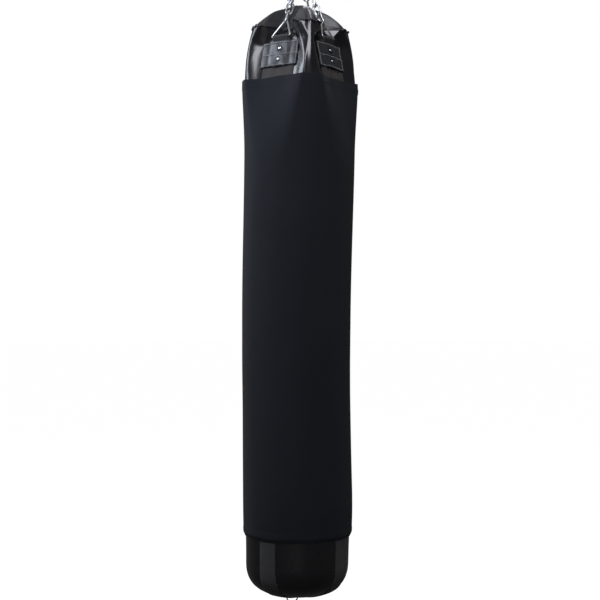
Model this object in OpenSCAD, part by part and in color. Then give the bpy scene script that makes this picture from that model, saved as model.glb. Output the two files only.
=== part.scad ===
// Hanging heavy bag: a filled tube with a fabric sleeve, four strap anchors, four chains,
// a snap hook and a ball-bearing swivel. Millimetres, +Z up.
// The origin is the centre of the swivel's hang eye. Heights named *_h are measured from the
// underside of the bag, and lift() moves them into this frame.

/* [Bag] */
// Radius of the filled skin at mid height
skin_r = 162; // [150:1:180]
// Height of the bag from its underside to the top of the cap
bag_h = 1800; // [1700:10:1900]
// Thickness of the skin
skin_t = 2; // [1.5:0.5:3]
// Thickness of the sleeve's cloth
sleeve_t = 2.2; // [1.5:0.1:3]
// Height of the sleeve's lower edge
sleeve_low_h = 182; // [150:1:250]
// Height of the sleeve's top edge
sleeve_top_h = 1564; // [1500:1:1600]

/* [Anchors] */
// Width of the webbing strap
strap_w = 55; // [50:1:60]
// Thickness of the webbing strap
strap_t = 2.5; // [2:0.1:3]
// Width of the stitched patch
patch_w = 128; // [110:1:132]
// Height of the stitched patch
patch_len = 79; // [72:1:80]

/* [Chain and ring] */
// Diameter of the chain link's wire
link_d = 5.5; // [4:0.5:6]
// Inside length of a link
link_inner = 35; // [34.8:0.1:36]
// Diameter of the triangular ring's wire
ring_d = 6; // [5:0.5:7]

/* [Hook and swivel] */
// Diameter of the snap hook's rod
hook_d = 10; // [9:0.5:11]
// Radius of the hang eye's bore
eye_bore_r = 10; // [8:0.5:12]
// Thickness of the hang eye
eye_t = 10; // [8:0.5:12]

/* [Hidden] */
$fn = 48;

gap = 0.3;            // clearance between separate pieces
eye_h = 2060;         // height of the hang eye's centre, the origin

// Anchors stand at these turns about Z, counted from -Y towards +X.
anchor_turn = [-34, 56, 146, 236];

// Bag outline. The tube is round, and each anchor pulls a flat-bottomed dent into its top,
// so that its section there has four bulging corners.
top_seam_h = 1726;    // height of the gathered seam
top_seam_r = 147;     // its radius at the corners
shoulder_r = 563;     // radius of the arc that rounds the shoulder
bottom_r = 157.5;     // radius where the bottom starts to round
bottom_h = 110;       // height of the rounded bottom
bottom_power = 2.8;   // squareness of the bottom's curve
panel_r = 115;        // radius of the bottom panel's seam
side_r = 115;         // distance of a flat side from the axis at side_h
side_h = 1590;
side_tilt = 12.3;     // tilt of a flat side from vertical
side_half = 62;       // half width of its flat middle
side_ramp = 30;       // angle at which it runs out into the corners
taper_up = 86;        // place along the side above which it narrows towards the seam
taper_lean = 52;      // lean of its edges there
dent_r = 82;          // distance of the steeper dent above it at dent_h
dent_h = 1700;
dent_tilt = 28;
dent_half = 30;
dent_ramp = 60;
hem_low_h = 1713;     // lower edge of the gathered hem
hem_t = 4;
tab_turn = 101;       // turn of the sleeve's seam about Z, on a corner of the top
slot_t = 3.3;         // room under the sleeve for the anchor's webbing

// Stack of layers on a flat side, counted outwards from the skin.
layer_0 = 0.1;
band_w = 112;         // width of the reinforcement band
band_t = 3;
band_low = -135;      // its lower end, along the side from side_h
band_top = 42;
strap_in = 3.2;       // inner face of the strap's front leg
patch_low = 6;
patch_t = 2.5;
patch_out = strap_in + strap_t + patch_t;
patch_top = patch_low + patch_len;
strap_low = patch_low + 4;          // lower end of the strap's front leg
rivet_up = [28, 62];  // places of the rivets along the side
rivet_r = 2;
rivet_head_r = 4.5;
washer_r = 9.5;

// Ring. Its bar lies in the strap's loop and its apex carries the chain.
bar_up = 99;          // place of the bar along the flat side
bar_out = 10.3;       // distance of the bar from the flat side
ring_half = 32;       // half width at the bar, to the wire's centre
corner_bend = 5;      // bend radius of the ring's lower corners
ring_bend = 9;        // bend radius of its apex
apex_r = [77, 81, 77, 81];          // distance of each apex from the axis
apex_h = [1740, 1739, 1740, 1739];  // height of each apex

// Chain
link_half = 9.5;      // half width of a link, to the wire's centre
link_straight = link_inner / 2 - link_half + link_d / 2;
hook_h = 1884;        // height of the hook's lower bar
seat_x = [-5, 13, 5, -13];          // place of each chain along the hook's bar
first_turn = 26;      // turn of the lowest link out of the ring's square

// Snap hook, drawn with its lower bar at z = 0
hook_half = 30;
hook_len = 84;
hook_bend = 13;
gate_low = 20;
gate_top = 64;
gate_d = 9;
fork_t = 4;           // thickness of the tongues at the gate's ends
pin_r = 1.8;

// Swivel, drawn with the centre of its lower eye's wire at z = 0
stem_wire_d = 8;
stem_half = 13;
stem_arc = 24;        // height of the upper arc's centre
stem_r = 6;
bridge_low = 42.5;
bridge_t = 8;
bearing_h = bridge_low + bridge_t;
race_t = 2;
race_out = 12;
ball_r = 2;
ball_ring = 9;
ball_count = 12;
nut_across = 19;
nut_t = 9;
yoke_half = 14.5;     // half width of the yoke's window
yoke_arm = 5;
yoke_depth = 16;
window_top = 76;
eye_out_r = 19;
// Height of the hang eye above the lower eye's wire, which the hook's top bar hangs on.
eye_up = eye_h - (hook_h + hook_len - hook_d / 2 - stem_wire_d / 2 - gap);

// Bottom fitting
tab_x = -15;          // the tab sits off the axis
bottom_patch_r = 45;
bottom_patch_t = 2.5;
tab_w = 24;
tab_t = 2;
dring_d = 4;
dring_half = 16;
dring_drop = 17;
dring_h = -bottom_patch_t - 0.4 - dring_d / 2 - gap - tab_t;

steel = "silver";
black = "#26262a";

// Outline of the bag grown by g: half section from the axis at the bottom round to the axis on top.
function bag_outline(g) = concat(
    [[0, -g]],
    [for (a = [85 : -10 : 5]) [(bottom_r + g) * pow(cos(a), 2 / bottom_power),
        bottom_h - (bottom_h + g) * pow(sin(a), 2 / bottom_power)]],
    [[bottom_r + g, bottom_h], [skin_r + g, sleeve_low_h], [skin_r + 1 + g, 285],
        [skin_r - 1.5 + g, 560], [skin_r + g, 870], [skin_r + 3 + g, 1360], [skin_r + 8 + g, 1480]],
    [for (z = [sleeve_top_h : 27 : top_seam_h]) [shoulder(z) + g, z]],
    [for (u = [1 : -0.1 : 0]) [u * (top_seam_r + g), top_seam_h + (bag_h - top_seam_h + g) * (1 - u * u)]]);

function shoulder(z) = top_seam_r + (shoulder_arc(z) - shoulder_arc(top_seam_h));
function shoulder_arc(z) = sqrt(pow(shoulder_r, 2) - pow(z - sleeve_top_h, 2));

module lift() {
    translate([0, 0, -eye_h]) children();
}

// Places its children once for each anchor, with -Y pointing outwards.
module at_anchor(i) {
    rotate([0, 0, anchor_turn[i]]) children();
}

// Frame of a flat side: -Y is outwards from the skin and Z runs up along the side.
module on_side(i) {
    at_anchor(i) translate([0, -side_r, side_h]) rotate([-side_tilt, 0, 0]) children();
}

// Everything outside one dent in its own frame. The dent's floor is flat to half on either side,
// then runs outwards at the ramp's angle.
module beyond_dent(half, ramp) {
    reach = 300;
    rise = reach * tan(ramp);
    translate([0, 0, -500]) linear_extrude(1000)
        polygon([[-half, 0], [half, 0], [half + reach, -rise], [half + reach, -rise - reach],
            [-half - reach, -rise - reach], [-half - reach, -rise]]);
}

// The part of a side's dent within edges that lean inwards above taper_up.
module beyond_taper() {
    reach = 400;
    rise = reach * tan(side_ramp) / cos(taper_lean);
    intersection_for(s = [0, 1]) mirror([s, 0, 0]) translate([side_half, 0, taper_up])
        rotate([0, -taper_lean, 0]) translate([0, 0, -500]) linear_extrude(1000)
            polygon([[-reach, rise], [reach, -rise], [-reach, -rise]]);
}

// The bag's outer form grown by g on its round parts and side_g in its dents.
module bag_form(g, side_g) {
    difference() {
        rotate_extrude($fn = 96) polygon(bag_outline(g));
        for (i = [0 : 3]) {
            on_side(i) translate([0, -side_g, 0]) intersection() {
                beyond_dent(side_half, side_ramp);
                beyond_taper();
            }
            at_anchor(i) translate([0, -dent_r, dent_h]) rotate([-dent_tilt, 0, 0])
                translate([0, -side_g, 0]) beyond_dent(dent_half, dent_ramp);
        }
    }
}

// A shell of the bag's form between two offsets.
module bag_shell(outer, inner, side_outer, side_inner) {
    difference() {
        bag_form(outer, side_outer);
        bag_form(inner, side_inner);
    }
}

// Keeps what lies between two heights.
module between(low, high) {
    intersection() {
        children();
        translate([-300, -300, low]) cube([600, 600, high - low]);
    }
}

// Straight round rod between two points.
module rod(p, q, d) {
    v = q - p;
    translate(p) rotate([0, acos(v.z / norm(v)), atan2(v.y, v.x)]) cylinder(d = d, h = norm(v));
}

// One bend of a round rod in the XZ plane, about a centre, from angle start over sweep.
module bend(centre, r, d, start, sweep) {
    translate(centre) rotate([90, 0, 0])
        rotate_extrude(angle = sweep, start = start) translate([r, 0]) circle(d = d, $fn = 32);
}

// Oval chain link, long along Z, flat in XZ.
module chain_link() {
    bend([0, 0, link_straight], link_half, link_d, 0, 180);
    bend([0, 0, -link_straight], link_half, link_d, 180, 180);
    for (s = [-1, 1]) rod([s * link_half, 0, -link_straight], [s * link_half, 0, link_straight], link_d);
}

// Angle brought to within a quarter turn of zero, for a shape that looks the same after a half turn.
function half_turn(a) = a - 180 * round(a / 180);

function apex(i) = [apex_r[i] * sin(anchor_turn[i]), -apex_r[i] * cos(anchor_turn[i]), apex_h[i]];

// Link n of chain i, counted from the ring. The lowest link turns by first_turn in the ring. The
// links turn a quarter each, and share out the twist that brings the top one square to the hook's bar.
module placed_link(i, n) {
    v = [seat_x[i], 0, hook_h] - apex(i);
    lean = acos(v.z / norm(v));
    way = atan2(v.y, v.x);
    twist = half_turn(-atan2(cos(lean) * cos(way), -sin(way)));
    start = sign(twist) * first_turn;
    pitch = (norm(v) + hook_d / 2 + ring_d / 2) / 5;
    color(steel) lift() translate(apex(i)) rotate([0, lean, way])
        translate([0, 0, pitch / 2 - ring_d / 2 + (n - 1) * pitch])
            rotate([0, 0, start + (n - 1) * (90 + (twist - start) / 4)]) chain_link();
}

// Triangular ring with round corners in the XZ plane: the bar lies on z = 0 and the apex at h.
// Its legs are a hair thinner than the bends and run a little way into them, so that all is one solid.
module triangle_ring(h) {
    foot = [ring_half - corner_bend, 0, corner_bend];
    top = [0, 0, h - ring_bend];
    span = norm(top - foot);
    along = (top - foot) / span;
    turn = asin((corner_bend - ring_bend) / span);
    across = [along.z, 0, -along.x];
    out = cos(turn) * across + sin(turn) * along;
    lap = 0.2 * (cos(turn) * along - sin(turn) * across);
    face = atan2(out.z, out.x);
    bend(top, ring_bend, ring_d, face, 180 - 2 * face);
    rod([-foot.x, 0, 0], [foot.x, 0, 0], ring_d);
    for (s = [0, 1]) mirror([s, 0, 0]) {
        bend(foot, corner_bend, ring_d, -90, 90 + face);
        rod(foot + corner_bend * out - lap, top + ring_bend * out + lap, ring_d - 0.02);
    }
}

function bar_r(i) = side_r + bar_out * cos(side_tilt) - bar_up * sin(side_tilt);
function bar_h(i) = side_h + bar_out * sin(side_tilt) + bar_up * cos(side_tilt);

module ring(i) {
    inward = bar_r(i) - apex_r[i];
    up = apex_h[i] - bar_h(i);
    color(steel) lift() at_anchor(i) translate([0, -bar_r(i), bar_h(i)])
        rotate([-atan2(inward, up), 0, 0]) triangle_ring(norm([inward, up]));
}

// Round holes for both rivets, through the layers on a flat side.
module rivet_holes() {
    for (w = rivet_up) translate([0, 0, w]) rotate([90, 0, 0])
        translate([0, 0, -5]) cylinder(r = rivet_r + 0.1, h = 20);
}

// Webbing strap: both legs lie under the patch, and the loop passes round the ring's bar.
module strap(i) {
    near = ring_d / 2 + gap;
    far = near + strap_t;
    color(black) lift() on_side(i) difference() {
        rotate([90, 0, -90]) translate([0, 0, -strap_w / 2]) linear_extrude(strap_w) {
            translate([bar_out, bar_up]) intersection() {
                difference() {
                    circle(r = far);
                    circle(r = near);
                }
                translate([-far, 0]) square([2 * far, far]);
            }
            polygon([[strap_in, strap_low], [strap_in + strap_t, strap_low],
                [strap_in + strap_t, patch_top + 0.5],
                [bar_out + far - 0.4, bar_up - 6], [bar_out + far, bar_up], [bar_out + near, bar_up],
                [bar_out + near - 0.3, bar_up - 5], [strap_in, patch_top + 1.5]]);
            polygon([[layer_0, band_top + 2], [layer_0 + strap_t, band_top + 2],
                [layer_0 + strap_t, bar_up - 13], [bar_out - near - 0.4, bar_up - 4],
                [bar_out - near, bar_up], [bar_out - far, bar_up], [bar_out - far - 0.4, bar_up - 4],
                [layer_0, bar_up - 13]]);
        }
        rivet_holes();
    }
}

module band(i) {
    color("dimgray") lift() on_side(i) difference() {
        translate([-band_w / 2, -layer_0 - band_t, band_low]) cube([band_w, band_t, band_top - band_low]);
        rivet_holes();
    }
}

// Leather patch with a channel on its back for the strap's front leg.
module patch(i) {
    color(black) lift() on_side(i) difference() {
        translate([-patch_w / 2, -patch_out, patch_low]) cube([patch_w, patch_out - strap_in, patch_len]);
        translate([-strap_w / 2 - gap, -strap_in - strap_t, patch_low + 3])
            cube([strap_w + 2 * gap, strap_t + 1, patch_len]);
        rivet_holes();
    }
}

module rivets() {
    color(steel) lift() for (i = [0 : 3]) on_side(i) for (w = rivet_up)
        translate([0, -gap, w]) rotate([90, 0, 0]) {
            cylinder(r = rivet_r, h = patch_out + 1);
            translate([0, 0, patch_out + 1 - gap]) rotate_extrude()
                polygon([[0, 0], [rivet_head_r, 0], [rivet_head_r * 0.8, 1.4],
                    [rivet_head_r * 0.4, 2.2], [0, 2.4]]);
        }
}

module rivet_washers() {
    color("dimgray") lift() for (i = [0 : 3]) on_side(i) for (w = rivet_up)
        translate([0, -patch_out, w]) rotate([90, 0, 0]) difference() {
            cylinder(r = washer_r, h = 0.6);
            translate([0, 0, -1]) cylinder(r = rivet_r + 0.1, h = 3);
        }
}

module skin() {
    color(black) lift() difference() {
        between(-10, top_seam_h - 4) bag_shell(0, -skin_t, 0, -skin_t);
        translate([0, 0, -10]) cylinder(r = panel_r, h = 60);
    }
}

module bottom_panel() {
    color(black) lift() intersection() {
        bag_shell(0, -skin_t, 0, -skin_t);
        translate([0, 0, -10]) cylinder(r = panel_r - gap / 3, h = 60);
    }
}

module top_cap() {
    color("#3a3a3e") lift() between(top_seam_h - 4 + gap / 3, bag_h + 10) bag_shell(0, -skin_t, 0, -skin_t);
}

module filling() {
    color("tan") lift() bag_form(-skin_t - gap, -skin_t - gap);
}

module gathered_hem() {
    color(black) lift() between(hem_low_h, top_seam_h + 4) bag_shell(hem_t, gap / 3, hem_t, gap / 3);
}

module sleeve() {
    color("#2a303c") lift() between(sleeve_low_h, sleeve_top_h)
        bag_shell(gap + sleeve_t + 0.8, gap, slot_t + sleeve_t, slot_t);
}

// Folded end of the sleeve's side seam, on a corner of the squared top.
module sleeve_seam_tab() {
    color("#2a303c") lift() rotate([0, 0, tab_turn])
        translate([-1.5, -183.5, sleeve_top_h - 32]) cube([3, 6.5, 30]);
}

// Ends of the four straps, from the sleeve's edge down and under to the bottom patch.
module lower_straps() {
    color("#202024") lift() difference() {
        intersection() {
            between(-5, sleeve_low_h - 2) bag_shell(2, gap / 3, 2, gap / 3);
            union() {
                for (i = [0, 1]) at_anchor(i) translate([-strap_w / 2, -200, -10]) cube([strap_w, 400, 200]);
            }
        }
        translate([0, 0, -10]) cylinder(r = bottom_patch_r + gap, h = 30);
    }
}

module bottom_patch() {
    color(black) lift() translate([0, 0, -bottom_patch_t - 0.1])
        cylinder(r = bottom_patch_r, h = bottom_patch_t);
}

// Webbing tab: two flat legs sewn under the patch and a loop round the D-ring's bar.
module bottom_tab() {
    near = dring_d / 2 + gap;
    color(black) lift() translate([tab_x, 0, dring_h]) rotate([90, 0, 90])
        translate([0, 0, -tab_w / 2]) linear_extrude(tab_w) difference() {
            union() {
                circle(r = near + tab_t);
                translate([-30, near]) square([60, tab_t]);
            }
            circle(r = near);
        }
}

module bottom_ring() {
    color(steel) lift() translate([tab_x, 0, dring_h]) {
        rod([-dring_half + 3, 0, 0], [dring_half - 3, 0, 0], dring_d);
        for (s = [0, 1]) mirror([s, 0, 0]) {
            bend([dring_half - 3, 0, -3], 3, dring_d, 0, 90);
            bend([dring_half - 13, 0, -dring_drop + 13], 13, dring_d, -90, 90);
            rod([dring_half, 0, -dring_drop + 13], [dring_half, 0, -3], dring_d);
            rod([0, 0, -dring_drop], [dring_half - 13, 0, -dring_drop], dring_d);
        }
    }
}

module hook_place() {
    translate([0, 0, hook_h - eye_h]) children();
}

// Tongue at an end of the hook's rod, flat across Y, that a slot in the gate straddles.
module hook_tongue(z0, z1) {
    translate([hook_half, 0, z0]) intersection() {
        cylinder(d = hook_d, h = z1 - z0);
        translate([-hook_d, -fork_t / 2, 0]) cube([2 * hook_d, fork_t, z1 - z0]);
    }
}

// Bore for the gate's pin.
module gate_bore() {
    translate([hook_half, 0, gate_low]) rotate([90, 0, 0]) cylinder(r = pin_r + 0.05, h = 20, center = true);
}

// Snap hook: a rounded oblong of round rod, open on its +X side where the gate sits.
module hook_body() {
    inner = hook_half - hook_bend;
    color(steel) hook_place() difference() {
        union() {
            for (z = [0, hook_len]) rod([-inner, 0, z], [inner, 0, z], hook_d);
            rod([-hook_half, 0, hook_bend], [-hook_half, 0, hook_len - hook_bend], hook_d);
            for (s = [0, 1]) mirror([s, 0, 0]) {
                bend([inner, 0, hook_bend], hook_bend, hook_d, -90, 90);
                bend([inner, 0, hook_len - hook_bend], hook_bend, hook_d, 0, 90);
            }
            hook_tongue(hook_bend, gate_low + 4);
            hook_tongue(gate_top - 4, hook_len - hook_bend);
        }
        gate_bore();
    }
}

// Gate: a round bar, slotted at both ends over the hook's tongues and bored for its spring.
module hook_gate() {
    slot = fork_t + 2 * gap;
    color("gainsboro") hook_place() difference() {
        union() {
            translate([hook_half, 0, gate_low]) cylinder(d = gate_d, h = gate_top - gate_low + 3);
            translate([hook_half, 0, gate_low]) rotate([90, 0, 0])
                cylinder(d = gate_d, h = gate_d - 1, center = true);
        }
        translate([hook_half - gate_d, -slot / 2, gate_low - gate_d]) cube([2 * gate_d, slot, gate_d + 10]);
        translate([hook_half - gate_d, -slot / 2, gate_top - 5]) cube([2 * gate_d, slot, 20]);
        gate_bore();
        translate([hook_half, 0, gate_low + 9]) cylinder(r = 2.6, h = 26);
    }
}

module gate_pin() {
    color(steel) hook_place() translate([hook_half, 0, gate_low]) rotate([90, 0, 0])
        cylinder(r = pin_r, h = gate_d - 0.6, center = true);
}

// Coil spring in the gate's bore: a helix swept as a ring of six-sided sections.
module gate_spring() {
    turns = 6;
    steps = 10;
    coil_r = 1.9;
    wire_r = 0.35;
    sides = 6;
    count = turns * steps;
    rings = [for (k = [0 : count]) [for (j = [0 : sides - 1])
        let (a = 360 * k / steps, b = 360 * j / sides, r = coil_r + wire_r * cos(b))
            [r * cos(a), r * sin(a), 22 * k / count + wire_r * sin(b)]]];
    faces = concat(
        [[for (j = [0 : sides - 1]) j]],
        [for (k = [0 : count - 1], j = [0 : sides - 1])
            let (m = (j + 1) % sides, low = k * sides, high = low + sides)
                [low + j, high + j, high + m, low + m]],
        [[for (j = [sides - 1 : -1 : 0]) count * sides + j]]);
    color("gold") hook_place() translate([hook_half, 0, gate_low + 11])
        polyhedron([for (ring = rings) each ring], faces);
}

module swivel_place() {
    translate([0, 0, -eye_up]) children();
}

// Lower eye in the YZ plane with its stem.
module swivel_stem() {
    color(steel) swivel_place() {
        rotate([0, 0, 90]) {
            bend([0, 0, stem_half], stem_half, stem_wire_d, 180, 180);
            bend([0, 0, stem_arc], stem_half, stem_wire_d, 0, 180);
            for (s = [-1, 1]) rod([s * stem_half, 0, stem_half], [s * stem_half, 0, stem_arc], stem_wire_d);
        }
        translate([0, 0, stem_arc + stem_half]) cylinder(r = stem_r, h = 34);
        translate([0, 0, stem_arc + stem_half])
            cylinder(r = 8.5, h = bridge_low - gap - stem_arc - stem_half);
    }
}

// Race with a bore for the stem.
module race(z, bore) {
    color("gainsboro") swivel_place() translate([0, 0, z]) difference() {
        cylinder(r = race_out, h = race_t);
        translate([0, 0, -1]) cylinder(r = bore, h = race_t + 2);
    }
}

module lower_race() {
    race(bearing_h, stem_r + gap);
}

module upper_race() {
    race(bearing_h + race_t + 2 * ball_r + 0.2, stem_r);
}

module bearing_balls() {
    color(steel) swivel_place() for (k = [1 : ball_count]) rotate([0, 0, k * 360 / ball_count])
        translate([ball_ring, 0, bearing_h + race_t + ball_r]) sphere(r = ball_r);
}

module swivel_nut() {
    color(steel) swivel_place() translate([0, 0, bearing_h + 2 * race_t + 2 * ball_r + 0.2]) difference() {
        cylinder(d = nut_across / cos(30), h = nut_t, $fn = 6);
        translate([0, 0, -1]) cylinder(r = stem_r, h = nut_t + 2);
    }
}

// Yoke: a window for the nut and bearing, with the hang eye on top.
module swivel_yoke() {
    outer = yoke_half + yoke_arm;
    color(steel) swivel_place() {
        difference() {
            translate([-outer, -yoke_depth / 2, bridge_low])
                cube([2 * outer, yoke_depth, window_top + 8 - bridge_low]);
            translate([-yoke_half, -yoke_depth, bearing_h])
                cube([2 * yoke_half, 2 * yoke_depth, window_top - bearing_h]);
            translate([0, 0, bridge_low - 1]) cylinder(r = stem_r + 0.1, h = bridge_t + 2);
            translate([0, 0, eye_up]) rotate([90, 0, 0]) cylinder(r = eye_bore_r, h = 40, center = true);
        }
        difference() {
            union() {
                translate([0, 0, eye_up]) rotate([90, 0, 0])
                    cylinder(r = eye_out_r, h = eye_t, center = true);
                translate([-12, -eye_t / 2, window_top + 4]) cube([24, eye_t, 16]);
            }
            translate([0, 0, eye_up]) rotate([90, 0, 0]) cylinder(r = eye_bore_r, h = 40, center = true);
        }
    }
}

swivel_yoke();
swivel_stem();
swivel_nut();
lower_race();
upper_race();
bearing_balls();
hook_body();
hook_gate();
gate_pin();
gate_spring();
placed_link(0, 1);  // chain_1_link_1
placed_link(0, 2);  // chain_1_link_2
placed_link(0, 3);  // chain_1_link_3
placed_link(0, 4);  // chain_1_link_4
placed_link(0, 5);  // chain_1_link_5
placed_link(1, 1);  // chain_2_link_1
placed_link(1, 2);  // chain_2_link_2
placed_link(1, 3);  // chain_2_link_3
placed_link(1, 4);  // chain_2_link_4
placed_link(1, 5);  // chain_2_link_5
placed_link(2, 1);  // chain_3_link_1
placed_link(2, 2);  // chain_3_link_2
placed_link(2, 3);  // chain_3_link_3
placed_link(2, 4);  // chain_3_link_4
placed_link(2, 5);  // chain_3_link_5
placed_link(3, 1);  // chain_4_link_1
placed_link(3, 2);  // chain_4_link_2
placed_link(3, 3);  // chain_4_link_3
placed_link(3, 4);  // chain_4_link_4
placed_link(3, 5);  // chain_4_link_5
ring(0);  // ring_1
ring(1);  // ring_2
ring(2);  // ring_3
ring(3);  // ring_4
strap(0);  // strap_1
strap(1);  // strap_2
strap(2);  // strap_3
strap(3);  // strap_4
band(0);  // band_1
band(1);  // band_2
band(2);  // band_3
band(3);  // band_4
patch(0);  // patch_1
patch(1);  // patch_2
patch(2);  // patch_3
patch(3);  // patch_4
rivets();
rivet_washers();
skin();
filling();
top_cap();
gathered_hem();
bottom_panel();
lower_straps();
sleeve();
sleeve_seam_tab();
bottom_patch();
bottom_tab();
bottom_ring();
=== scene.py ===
"""Looks of a hanging heavy bag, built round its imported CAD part. Lengths are in metres.

Heights named h are measured from the underside of the bag, and up(h) moves them into the frame.
Azimuths are counted from -Y, the front, towards +X.
"""

import math

import bpy
import numpy as np
from mathutils import Matrix, Vector


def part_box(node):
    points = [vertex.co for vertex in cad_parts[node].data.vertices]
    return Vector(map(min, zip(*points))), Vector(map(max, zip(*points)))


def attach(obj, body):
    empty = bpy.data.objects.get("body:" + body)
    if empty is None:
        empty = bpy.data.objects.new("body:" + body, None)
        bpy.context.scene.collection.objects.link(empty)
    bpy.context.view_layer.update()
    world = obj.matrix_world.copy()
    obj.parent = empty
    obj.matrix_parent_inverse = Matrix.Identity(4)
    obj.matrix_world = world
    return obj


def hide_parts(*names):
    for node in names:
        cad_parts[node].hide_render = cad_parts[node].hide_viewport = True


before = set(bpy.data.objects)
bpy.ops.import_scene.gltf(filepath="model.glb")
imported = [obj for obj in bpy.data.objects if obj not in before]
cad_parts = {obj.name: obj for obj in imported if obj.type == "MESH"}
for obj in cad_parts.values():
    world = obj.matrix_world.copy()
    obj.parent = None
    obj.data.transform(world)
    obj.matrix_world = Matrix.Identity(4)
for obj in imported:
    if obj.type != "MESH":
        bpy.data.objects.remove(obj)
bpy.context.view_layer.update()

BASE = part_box("bottom_panel")[0].z
BAG = "bag"

# ---------------------------------------------------------------- camera

CAMERA_LENS = 73.5  # millimetres, on a 36 mm sensor
CAMERA_DISTANCE = 3.756
CAMERA_HEIGHT = 0.8585
CAMERA_SIDE = 0.004
CAMERA_PITCH = math.radians(0.61)
CAMERA_ROLL = math.radians(0.33)


def up(h):
    """Frame height of a height above the bag's underside."""
    return BASE + h


def make_camera():
    data = bpy.data.cameras.new("camera")
    data.lens, data.sensor_width = CAMERA_LENS, 36
    data.clip_start, data.clip_end = 0.05, 60
    camera = bpy.data.objects.new("camera", data)
    bpy.context.scene.collection.objects.link(camera)
    camera.matrix_world = (
        Matrix.Translation((CAMERA_SIDE, -CAMERA_DISTANCE, up(CAMERA_HEIGHT)))
        @ Matrix.Rotation(math.pi / 2 + CAMERA_PITCH, 4, "X")
        @ Matrix.Rotation(CAMERA_ROLL, 4, "Z")
    )
    bpy.context.scene.camera = camera


make_camera()

# ---------------------------------------------------------------- the bag's form

ANCHORS = np.radians([-34, 56, 146, 236])
CORNERS = np.radians([11, 101, 191, 281])
# Each anchor makes two dents: a flat side, which narrows above taper_up, and a steeper one above it.
SIDE = dict(r=0.115, h=1.590, tilt=math.radians(12.3), half=0.062, ramp=math.radians(30),
            taper_up=0.086, taper=math.tan(math.radians(52)))
DENT = dict(r=0.082, h=1.700, tilt=math.radians(28), half=0.030, ramp=math.radians(60))
HEM_H, HEM_R = 1.726, 0.147  # the gathered seam between two anchors
HEM_DIP, HEM_SCALLOP = 0.012, 0.0018
HEM_ROLL_R = 0.0031
SHOULDER_H = 1.560  # where the corner pleats begin to spread
CAP_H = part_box("top_cap")[1].z - BASE
SLEEVE_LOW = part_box("sleeve")[0].z - BASE
SLEEVE_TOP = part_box("sleeve")[1].z - BASE
BOTTOM_R, BOTTOM_H, BOTTOM_POWER = 0.1575, 0.110, 2.8
PANEL_R = 0.115
BOW = 0.007  # the filled bag hangs a little bowed towards -X at mid height
FAR = 1.0  # a distance from the axis that is well beyond the bag
DENT_REACH = math.radians(75)


def wrap(angle):
    """The same angle between -pi and pi."""
    return (angle + np.pi) % (2 * np.pi) - np.pi


def smoothstep(low, high, x):
    """Smooth rise from 0 at low to 1 at high, or a fall where low is the higher of the two."""
    t = np.clip((x - low) / (high - low), 0, 1)
    return t * t * (3 - 2 * t)


def soft_min(a, b, k):
    """The smaller of two values, blended where they differ by less than k."""
    t = np.clip(0.5 + 0.5 * (b - a) / k, 0, 1)
    return b + (a - b) * t - k * t * (1 - t)


def soft_max(a, b, k):
    return -soft_min(-a, -b, k)


def rounded(x, width):
    """Zero below zero and x above it, with a rounded corner."""
    return 0.5 * (x + np.sqrt(x * x + width * width))


def waves(angle, counts, seed):
    """Sum of sine waves round the bag, with seeded phases, roughly within -1 to 1."""
    phases = np.random.default_rng(seed).uniform(0, 2 * np.pi, len(counts))
    return sum(np.sin(n * angle + p) for n, p in zip(counts, phases)) / len(counts) ** 0.5


def profile(heights, radii):
    """Smooth curve through listed heights and radii."""
    fine = np.linspace(-0.1, 2.0, 2101)
    kernel = np.exp(-0.5 * (np.arange(-60, 61) / 18.0) ** 2)
    values = np.convolve(np.interp(fine, heights, radii), kernel / kernel.sum(), mode="same")
    return lambda h: np.interp(h, fine, values)


skin_tube = profile(
    [0.00, 0.11, 0.19, 0.24, 0.56, 0.87, 1.36, 1.48, 1.56, 1.62, 1.67, 1.71, 1.75],
    [0.1575, 0.1575, 0.1585, 0.162, 0.1605, 0.162, 0.165, 0.170, 0.1715, 0.169, 0.161, 0.151, 0.139],
)
sleeve_tube = profile(
    [0.0, 0.19, 0.285, 0.38, 0.62, 0.87, 1.17, 1.36, 1.48, 1.54, 1.60],
    [0.165, 0.165, 0.1665, 0.1655, 0.1637, 0.1654, 0.1665, 0.1682, 0.1735, 0.1775, 0.1765],
)


def along_ray(top, bottom):
    """Distance at which a ray leaves a dent's plane, or far away where it never does."""
    least = 0.03
    return np.where(bottom > least, np.clip(top / np.maximum(bottom, least), 0, FAR), FAR)


def dent_radius(azimuth, h, anchor, dent, k, grow=0.0):
    """Distance from the axis to one anchor's dent, along each azimuth. Beyond its edges it is far away.
    k rounds the dent's edges, and grow moves its floor outwards."""
    turn = wrap(azimuth - anchor)
    c, s = np.cos(turn), np.abs(np.sin(turn))
    cos_t, sin_t, slope = math.cos(dent["tilt"]), math.sin(dent["tilt"]), math.tan(dent["ramp"])
    rise = h - dent["h"]
    base = dent["r"] * cos_t - rise * sin_t + grow
    far = along_ray(base, c * cos_t)
    far = soft_max(far, along_ray(base - slope * dent["half"], c * cos_t - slope * s), k)
    if "taper" in dent:
        lean = slope * dent["taper"]
        top = base + lean * (rise * cos_t + dent["r"] * sin_t)
        top = top - slope * (dent["half"] + dent["taper"] * dent["taper_up"])
        far = soft_max(far, along_ray(top, c * cos_t - slope * s + lean * c * sin_t), k)
    return np.where(np.abs(turn) > DENT_REACH, FAR, np.minimum(far, FAR))


def form_radius(azimuth, h):
    """Distance from the axis to the bag's smooth form: the tube with its eight dents."""
    r = skin_tube(h) + np.zeros_like(azimuth)
    for anchor in ANCHORS:
        for dent, edge in ((SIDE, 0.016), (DENT, 0.014)):
            r = soft_min(r, dent_radius(azimuth, h, anchor, dent, edge), 0.022)
    return r


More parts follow.
